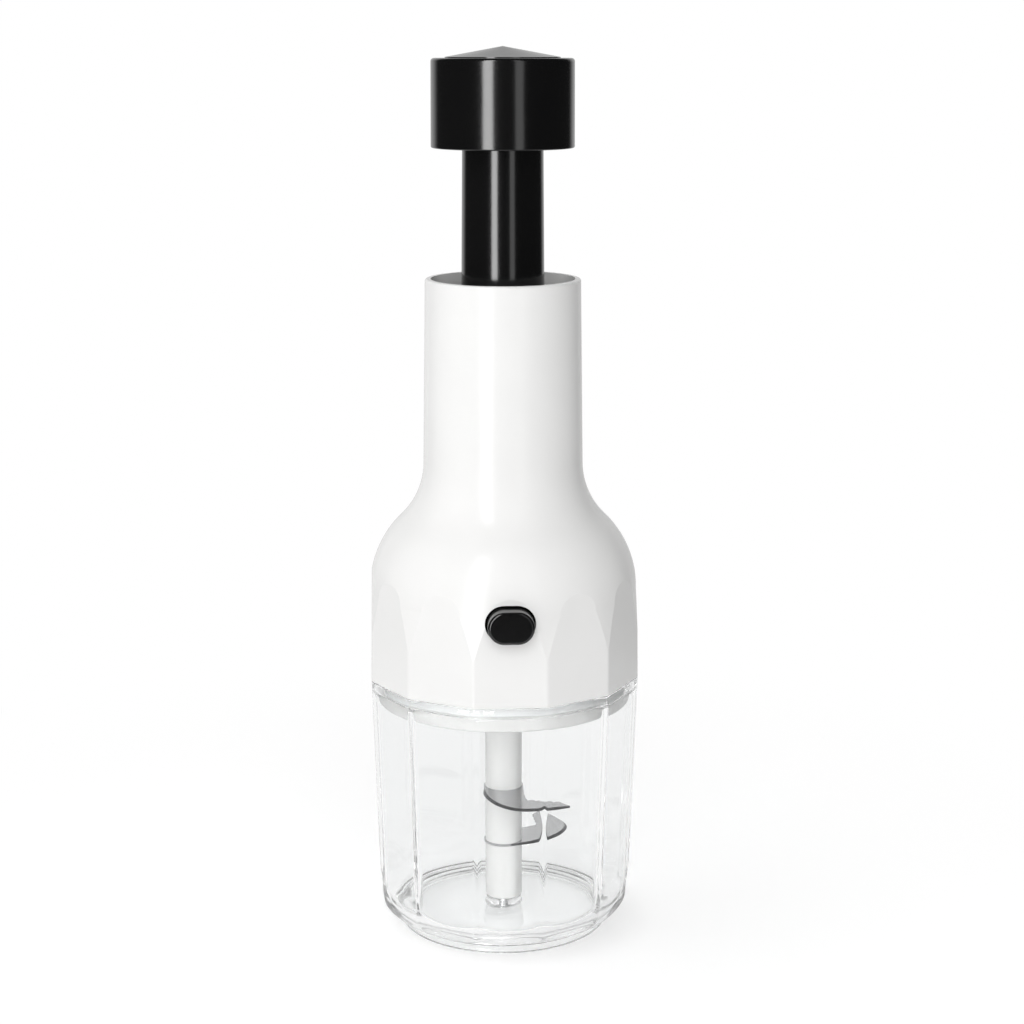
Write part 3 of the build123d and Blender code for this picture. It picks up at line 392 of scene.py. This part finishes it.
def wall_rows():
    """The faceted wall outside, and the turned round that takes its corners off towards the foot."""
    rows = faceted_rows([(None, z) for z in WALL_ROWS_Z], cup_corner_r, CUP_OUTER_ROUND)
    wide_r = cup_corner_r(CUP_BASE_Z)
    flare = [(wide_r + (z - CUP_BASE_Z)**2 / CUP_BASE_FLARE, z) for z in BASE_ROWS_Z]
    base = arc_points(wide_r - CUP_BASE_ROUND, CUP_BASE_Z, CUP_BASE_ROUND, 0, BASE_ROUND_END, BASE_STEPS)
    return rows + faceted_rows(flare + base, cup_corner_r, CUP_OUTER_ROUND)


def foot_rows():
    """The foot ring, and the underside back to the pin's head."""
    ring_bore_r = FOOT_R - FOOT_WALL
    fillet_z = CUP_BASE_Z - CUP_BASE_ROUND - FOOT_FILLET_DROP
    rows = arc_points(FOOT_R + FOOT_FILLET, fillet_z, FOOT_FILLET, 90, 180, 4)
    rows += corner_arc(FOOT_R, 0, -FOOT_OUTER_ROUND, FOOT_OUTER_ROUND, 0, -90, 5)
    rows += corner_arc(ring_bore_r, 0, FOOT_INNER_ROUND, FOOT_INNER_ROUND, -90, -180, 5)
    rows += corner_arc(ring_bore_r, CUP_UNDER_Z, -FOOT_ROOF_FILLET, -FOOT_ROOF_FILLET, 0, 90)
    rows += [(r, CUP_UNDER_Z) for r in (*UNDER_ROWS_R, PIN_HEAD_R + WIDE_EDGE_ROW)]
    rows += [(PIN_HEAD_R, CUP_UNDER_Z + EDGE_ROW / 5), (PIN_HEAD_R, PIN_HEAD_Z - EDGE_ROW)]
    return turned_rows(rows + [(PIN_HEAD_R - EDGE_ROW, PIN_HEAD_Z)])


def cup_rows():
    """The cup's closed outline from the pin's hole over the bowl, the rim and the foot and back."""
    return boss_rows() + bowl_rows() + rim_rows() + wall_rows() + foot_rows()


def cup_radius(row, angle):
    turned_r, _, corner_r, corner_round = row
    blend = CUP_BASE_BLEND if corner_round == CUP_OUTER_ROUND else CUP_BOWL_BLEND
    if corner_r is None:
        return turned_r
    faceted_r = faceted_radius(corner_r, corner_round, angle)
    return faceted_r if turned_r is None else soft_lower(turned_r, faceted_r, blend)


def mesh_object(name, points, faces, material, smooth=True):
    """A named piece from points in millimetres."""
    mesh = bpy.data.meshes.new(name)
    mesh.from_pydata([tuple(MM * c for c in point) for point in points], [], faces)
    mesh.materials.append(material)
    mesh.polygons.foreach_set("use_smooth", [smooth] * len(mesh.polygons))
    mesh.update()
    piece = bpy.data.objects.new(name, mesh)
    bpy.context.collection.objects.link(piece)
    return piece


def wrapped_grid(columns, rows):
    """Faces of a grid that closes on itself both ways."""
    return [(i * rows + j, i * rows + (j + 1) % rows,
             (i + 1) % columns * rows + (j + 1) % rows, (i + 1) % columns * rows + j)
            for i in range(columns) for j in range(rows)]


def make_cup():
    half = [math.radians(a) for a in CUP_COLUMNS]
    offsets = half + [HALF_FACET] + [-a for a in reversed(half[1:])]
    rows = cup_rows()
    points = []
    columns = 0
    for side in range(SIDES):
        corner = (2 * side + 1) * HALF_FACET
        for offset in offsets:
            turn = corner + offset + (2 * HALF_FACET if offset < 0 else 0)
            for row in rows:
                radius = cup_radius(row, offset)
                points.append((radius * math.cos(turn), radius * math.sin(turn), row[1]))
            columns += 1
    cup = mesh_object("cup_clear", points, wrapped_grid(columns, len(rows)), clear_plastic)
    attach(cup, "cup")
    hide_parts("cup")


make_cup()


# ---- blades: the CAD outline with the ground bevel that its flat node leaves out --------------------
BLADE_T = 0.7
BLADE_REACH = 28.0
BLADE_HUB_R = 6.2
BLADE_HOLE_R = 2.6
BLADE_TEETH = 4
BLADE_TOOTH_DEPTH = 0.9
BLADE_LIP = 0.15               # steel left at the cutting edge
BEVEL_WIDTH = 0.8
UPPER_BLADE_Z = 43.25
LOWER_BLADE_Z = 25.25
LOWER_BLADE_TURN = 110
BELLY = ((-0.235, -0.29), (-0.14, -0.575), (0.02, -0.765), (0.2, -0.835), (0.475, -0.807))
BLADE_TIP = (0.67, -0.74)
BLADE_HEEL = (0.585, -0.645)
BLADE_THROAT = (0.24, -0.55)
THROAT_BEND = (0.215, -0.36)
TIP_SLOPE = (0.97, 0.24)
THROAT_SLOPE = (-0.2, 1)
BEVEL_RUN_IN = 6               # the bevel widens over a sixth of the belly
BEVEL_RUN_OUT = 8              # and narrows over an eighth
BELLY_STEPS = 14
TIP_STEPS = 4
TOOTH_STEPS = 8
THROAT_STEPS = 8
HUB_STEPS = 24
HOLE_SIDES = 24


def on_reach(share):
    return Vector((share[0] * BLADE_REACH, share[1] * BLADE_REACH))


def on_circle(radius, angle):
    return Vector((radius * math.cos(angle), radius * math.sin(angle)))


def smooth_curve(points, start_slope, end_slope, steps):
    """A curve through the points, with a given direction at each end."""
    slopes = [Vector(start_slope) * (points[1] - points[0]).length]
    slopes += [(after - before) / 2 for before, after in zip(points, points[2:])]
    slopes.append(Vector(end_slope) * (points[-1] - points[-2]).length)
    curve = []
    for first, second, leave, arrive in zip(points, points[1:], slopes, slopes[1:]):
        for i in range(steps):
            t = i / steps
            curve.append((2 * t**3 - 3 * t**2 + 1) * first + (t**3 - 2 * t**2 + t) * leave
                         + (3 * t**2 - 2 * t**3) * second + (t**3 - t**2) * arrive)
    return curve + [points[-1]]


def toothed_edge(start, end):
    """Scallops cut into the blade along a line."""
    along = (end - start) / BLADE_TEETH
    side = Vector((along.y, -along.x)).normalized()
    points = []
    for tooth in range(BLADE_TEETH):
        for i in range(TOOTH_STEPS):
            t = i / TOOTH_STEPS
            points.append(start + along * (tooth + t) + side * BLADE_TOOTH_DEPTH * 4 * t * (1 - t))
    return points


def blade_outline():
    """The blade's edge from the left of its hub along belly, tip and throat, and the bevel's widths."""
    left = Vector((-BLADE_HUB_R, 0))
    right = Vector((BLADE_HUB_R, 0))
    tip, heel, throat = on_reach(BLADE_TIP), on_reach(BLADE_HEEL), on_reach(BLADE_THROAT)
    belly = [left] + [on_reach(share) for share in BELLY] + [tip]
    belly = smooth_curve(belly, (0, -1), TIP_SLOPE, BELLY_STEPS)
    count = len(belly)
    widths = [BEVEL_WIDTH * min(1, BEVEL_RUN_IN * i / count, BEVEL_RUN_OUT * (count - 1 - i) / count)
              for i in range(count)]
    inner = [tip + (heel - tip) * i / TIP_STEPS for i in range(1, TIP_STEPS)] + toothed_edge(heel, throat)
    inner += smooth_curve([throat, on_reach(THROAT_BEND), right], THROAT_SLOPE, (0, 1), THROAT_STEPS)
    hub = [on_circle(BLADE_HUB_R, math.pi * i / HUB_STEPS) for i in range(1, HUB_STEPS)]
    points = belly + inner + hub
    return points, widths + [0.0] * (len(points) - count)


def blade_loops():
    """The bottom edge, the lip above it, the top edge inside the bevel, and the hole's two edges."""
    outline, widths = blade_outline()
    bevelled = []
    for i, (point, width) in enumerate(zip(outline, widths)):
        along = outline[(i + 1) % len(outline)] - outline[i - 1]
        bevelled.append(point + Vector((-along.y, along.x)).normalized() * width)
    hole = [on_circle(BLADE_HOLE_R, -i * math.tau / HOLE_SIDES) for i in range(HOLE_SIDES)]
    return ((outline, 0), (outline, BLADE_LIP), (bevelled, BLADE_T), (hole, 0), (hole, BLADE_T)), widths


def blade_faces(loops):
    """The blade's flat faces, then two faces at each point of its edge, then the hole's wall."""
    outline, bevelled, hole = loops[0][0], loops[2][0], loops[3][0]
    count = len(outline)
    low_hole = 3 * count
    high_hole = low_hole + HOLE_SIDES
    faces = []
    for loop, start, hole_start in ((outline, 0, low_hole), (bevelled, 2 * count, high_hole)):
        for corners in tessellate_polygon([[p.to_3d() for p in loop], [p.to_3d() for p in hole]]):
            face = [start + c if c < count else hole_start + c - count for c in corners]
            faces.append(face[::-1] if start == 0 else face)
    flats = len(faces)
    for i in range(count):
        following = (i + 1) % count
        faces.append((i, following, count + following, count + i))
        faces.append((count + i, count + following, 2 * count + following, 2 * count + i))
    for i in range(HOLE_SIDES):
        following = (i + 1) % HOLE_SIDES
        faces.append((low_hole + i, low_hole + following, high_hole + following, high_hole + i))
    return faces, flats


def make_blade(name, node, low_z, turn_deg):
    loops, widths = blade_loops()
    turn = math.radians(turn_deg)
    cos, sin = math.cos(turn), math.sin(turn)
    points = [(p.x * cos - p.y * sin, p.x * sin + p.y * cos, low_z + z) for loop, z in loops for p in loop]
    faces, flats = blade_faces(loops)
    blade = mesh_object(name, points, faces, blade_steel, smooth=False)
    blade.data.materials.append(shaded_bevel_steel)
    for i, width in enumerate(widths):
        if width > 0 or widths[(i + 1) % len(widths)] > 0:
            blade.data.polygons[flats + 2 * i].material_index = 1
            blade.data.polygons[flats + 2 * i + 1].material_index = 1
    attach(blade, "blades")
    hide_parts(node)


make_blade("upper_sickle", "upper_blade", UPPER_BLADE_Z, 0)
make_blade("lower_sickle", "lower_blade", LOWER_BLADE_Z, LOWER_BLADE_TURN)


# ---- springs: open coils in place of the CAD's, sized from their nodes' boxes ---------------------------
SPRING_WIRE_R = 0.55
SPRING_TURNS = 8.5
BUTTON_WIRE_R = 0.3
BUTTON_TURNS = 6
WIRE_SIDES = 10
STEPS_PER_TURN = 32


def node_box(node):
    """A CAD node's lowest and highest corner in millimetres."""
    low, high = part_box(node)
    return low / MM, high / MM


def coil_points(radius, wire_r, length, turns):
    """A coiled wire round the Z axis, as rings of points from z = 0 up."""
    count = round(turns * STEPS_PER_TURN)
    rings = []
    for i in range(count + 1):
        turn = math.tau * turns * i / count
        out = Vector((math.cos(turn), math.sin(turn), 0))
        along = Vector((-math.sin(turn), math.cos(turn), length / (math.tau * turns * radius))).normalized()
        side = along.cross(out)
        centre = out * radius + Vector((0, 0, length * i / count))
        rings.append([centre + wire_r * (math.cos(a) * out + math.sin(a) * side)
                      for a in (math.tau * k / WIRE_SIDES for k in range(WIRE_SIDES))])
    return rings


def coil_mesh(name, rings):
    points = [point for ring in rings for point in ring]
    faces = [(i * WIRE_SIDES + k, i * WIRE_SIDES + (k + 1) % WIRE_SIDES,
              (i + 1) * WIRE_SIDES + (k + 1) % WIRE_SIDES, (i + 1) * WIRE_SIDES + k)
             for i in range(len(rings) - 1) for k in range(WIRE_SIDES)]
    last = (len(rings) - 1) * WIRE_SIDES
    faces += [tuple(range(WIRE_SIDES))[::-1], tuple(range(last, last + WIRE_SIDES))]
    return mesh_object(name, points, faces, spring_steel)


def make_return_spring():
    low, high = node_box("return_spring")
    radius = (high[0] - low[0]) / 2 - SPRING_WIRE_R
    length = high[2] - low[2] - 2 * SPRING_WIRE_R
    rings = [[point + Vector((0, 0, low[2] + SPRING_WIRE_R)) for point in ring]
             for ring in coil_points(radius, SPRING_WIRE_R, length, SPRING_TURNS)]
    spring = coil_mesh("return_coil", rings)
    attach(spring, "housing")
    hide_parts("return_spring")
    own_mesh(spring)


def make_button_spring():
    low, high = node_box("button_spring")
    radius = (high[0] - low[0]) / 2 - BUTTON_WIRE_R
    middle_z = (low[2] + high[2]) / 2
    length = high[1] - low[1] - 2 * BUTTON_WIRE_R
    rings = [[Vector((point.x, high[1] - BUTTON_WIRE_R - point.z, middle_z + point.y)) for point in ring]
             for ring in coil_points(radius, BUTTON_WIRE_R, length, BUTTON_TURNS)]
    spring = coil_mesh("button_coil", rings)
    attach(spring, "housing")
    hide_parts("button_spring")
    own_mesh(spring)


make_return_spring()
make_button_spring()


# ---- stage ----------------------------------------------------------------------------------------
def math_node(tree, operation, first, second):
    node = tree.nodes.new("ShaderNodeMath")
    node.operation = operation
    for socket, value in zip(node.inputs, (first, second)):
        if isinstance(value, (int, float)):
            socket.default_value = value
        else:
            tree.links.new(value, socket)
    return node.outputs["Value"]


def ramp_node(tree, value, low, high, bottom, top):
    """A smooth step from bottom to top as the value goes from low to high."""
    ramp = tree.nodes.new("ShaderNodeMapRange")
    ramp.interpolation_type = "SMOOTHSTEP"
    for name, number in (("From Min", low), ("From Max", high), ("To Min", bottom), ("To Max", top)):
        ramp.inputs[name].default_value = number
    tree.links.new(value, ramp.inputs["Value"])
    return ramp.outputs["Result"]


def mix_numbers(tree, factor, first, second):
    node = tree.nodes.new("ShaderNodeMix")
    for name, value in (("Factor", factor), ("A", first), ("B", second)):
        if isinstance(value, (int, float)):
            node.inputs[name].default_value = value
        else:
            tree.links.new(value, node.inputs[name])
    return node.outputs["Result"]


def seen_directly(tree, path, through_glass=1.0):
    """1 for the camera's rays, through_glass for those that passed glass, and 0 after a matt surface."""
    glass, matt = path.outputs["Is Transmission Ray"], path.outputs["Diffuse Depth"]
    passed = math_node(tree, "GREATER_THAN", glass, matt)
    dimmed = math_node(tree, "MULTIPLY", passed, through_glass)
    return math_node(tree, "MAXIMUM", path.outputs["Is Camera Ray"], dimmed)


FLOOR_RADIUS = 0.34
FLOOR_SIDES = 96
FLOOR_GLOW_NEAR = 0.55         # the floor's own white, which its shading tops up to full white
FLOOR_GLOW_FAR = 1.0
FLOOR_FADE = (0.10, 0.30)      # from the axis
FLOOR_DROP = 0.0004            # below the foot, so that the clear foot and the floor don't coincide
CONTACT_CENTRE = (0.004, 0.003)        # of a faint ring of painted shadow close round the foot
CONTACT_INSIDE = (0.018, 0.029)
CONTACT_FADE = (0.031, 0.048)
CONTACT_DIM = 0.88
FLOOR_LIGHT = 0.75             # how brightly the lamps light a bare white floor
FLOOR_WHITE = 0.9              # what the floor sends back to the object


def make_floor():
    """A round white floor: pure white to the camera, except where the object shades it and where a ring of
    painted shadow darkens it round the foot.
    """
    mesh = bpy.data.meshes.new("floor")
    rim = [on_circle(FLOOR_RADIUS, i * math.tau / FLOOR_SIDES) for i in range(FLOOR_SIDES)]
    mesh.from_pydata([(point.x, point.y, -FLOOR_DROP) for point in rim], [], [list(range(FLOOR_SIDES))])
    floor = bpy.data.objects.new("floor", mesh)
    bpy.context.collection.objects.link(floor)
    material, tree, shader = new_material("floor_white")
    shader.inputs["Roughness"].default_value = 1.0
    shader.inputs["Specular IOR Level"].default_value = 0.0
    place = tree.nodes.new("ShaderNodeTexCoord")
    length = tree.nodes.new("ShaderNodeVectorMath")
    length.operation = "LENGTH"
    tree.links.new(place.outputs["Object"], length.inputs[0])
    glow = ramp_node(tree, length.outputs["Value"], *FLOOR_FADE, FLOOR_GLOW_NEAR, FLOOR_GLOW_FAR)
    shift = tree.nodes.new("ShaderNodeVectorMath")
    shift.operation = "DISTANCE"
    tree.links.new(place.outputs["Object"], shift.inputs[0])
    shift.inputs[1].default_value = (*CONTACT_CENTRE, -FLOOR_DROP)
    # painted shadow: a ring round the foot, set off to the right and back, that dims both the floor's glow
    # and its shading
    within = ramp_node(tree, shift.outputs["Value"], *CONTACT_INSIDE, 1.0, CONTACT_DIM)
    beyond = ramp_node(tree, shift.outputs["Value"], *CONTACT_FADE, CONTACT_DIM, 1.0)
    painted_shadow = math_node(tree, "MAXIMUM", within, beyond)
    seen = seen_directly(tree, tree.nodes.new("ShaderNodeLightPath"))
    shader.inputs["Emission Color"].default_value = (1, 1, 1, 1)
    shining = math_node(tree, "MULTIPLY", glow, painted_shadow)
    tree.links.new(math_node(tree, "MULTIPLY", shining, seen), shader.inputs["Emission Strength"])
    lacking = math_node(tree, "MULTIPLY", math_node(tree, "SUBTRACT", 1.0, glow), painted_shadow)
    topping = math_node(tree, "DIVIDE", lacking, FLOOR_LIGHT)
    tree.links.new(mix_numbers(tree, seen, FLOOR_WHITE, topping), shader.inputs["Base Color"])
    mesh.materials.append(material)


make_floor()

ROOM_LIGHT = 0.265             # what lights matt surfaces from all round
LEFT_LIGHT = 0.68              # and more of it from the left
TOP_LIGHT = 0.30
ROOM_GLOSS = 0.035             # what glossy surfaces mirror: a dark room
BACKDROP_GLOSS = 0.75          # with a white backdrop behind the object
GLASS_FADE = (0.55, 0.93)      # the backdrop seen through the clear cup dims towards the sides
GLASS_DIM = 0.45
LEFT_BAND = (0.2, -0.9)        # directions in which these lights come in
TOP_BAND = (0.4, 0.95)
BACKDROP_BAND = (0.62, 0.86)
BOUNCES = 32


def make_world():
    """White to the camera and through glass. Matt and glossy surfaces meet a studio: a dim room, brighter
    on the left, with the white backdrop behind the object."""
    world = bpy.data.worlds.new("studio")
    bpy.context.scene.world = world
    world.use_nodes = True
    tree = world.node_tree
    background = tree.nodes["Background"]
    place = tree.nodes.new("ShaderNodeTexCoord")
    split = tree.nodes.new("ShaderNodeSeparateXYZ")
    tree.links.new(place.outputs["Generated"], split.inputs["Vector"])
    left = ramp_node(tree, split.outputs["X"], *LEFT_BAND, 0, LEFT_LIGHT)
    above = ramp_node(tree, split.outputs["Z"], *TOP_BAND, 0, TOP_LIGHT)
    matt = math_node(tree, "ADD", math_node(tree, "ADD", left, above), ROOM_LIGHT)
    behind = ramp_node(tree, split.outputs["Y"], *BACKDROP_BAND, ROOM_GLOSS, BACKDROP_GLOSS)
    path = tree.nodes.new("ShaderNodeLightPath")
    studio = mix_numbers(tree, path.outputs["Is Glossy Ray"], matt, behind)
    lit_backdrop = ramp_node(tree, split.outputs["Y"], *GLASS_FADE, GLASS_DIM, 1.0)
    strength = math_node(tree, "MAXIMUM", studio, seen_directly(tree, path, lit_backdrop))
    tree.links.new(strength, background.inputs["Strength"])
    background.inputs["Color"].default_value = (1, 1, 1, 1)


make_world()


SOFTBOX_DISTANCE = 0.72
KEY_HEIGHTS = (0.05, 0.95)
STREAK_HEIGHTS = (-0.1, 1.1)


def softbox(name, azimuth, heights, width, radiance, mirrored, lights, reaches_inside):
    """An upright soft box that faces the object's axis, azimuth degrees to its right. Radiance 1 is white.
    It shows in glossy surfaces, lights matt ones, or reaches into the clear cup."""
    low_z, high_z = heights
    data = bpy.data.lights.new(name, "AREA")
    data.shape = "RECTANGLE"
    data.size = width
    data.size_y = high_z - low_z
    data.energy = radiance * math.pi * width * (high_z - low_z)
    lamp = bpy.data.objects.new(name, data)
    turn = math.radians(azimuth)
    lamp.location = (SOFTBOX_DISTANCE * math.sin(turn), -SOFTBOX_DISTANCE * math.cos(turn),
                     (low_z + high_z) / 2)
    lamp.rotation_euler = (math.pi / 2, 0, turn)
    lamp.visible_glossy = mirrored
    lamp.visible_diffuse = lights
    lamp.visible_transmission = reaches_inside
    bpy.context.collection.objects.link(lamp)


softbox("key", -2, KEY_HEIGHTS, width=0.55, radiance=2.45, mirrored=False, lights=True, reaches_inside=True)
softbox("key_streak", -26, STREAK_HEIGHTS, width=0.20, radiance=7.8,
        mirrored=True, lights=False, reaches_inside=True)
softbox("fill_streak", 23, STREAK_HEIGHTS, width=0.165, radiance=1.25,
        mirrored=True, lights=False, reaches_inside=False)

cycles = bpy.context.scene.cycles
cycles.max_bounces = BOUNCES
cycles.glossy_bounces = BOUNCES
cycles.transmission_bounces = BOUNCES
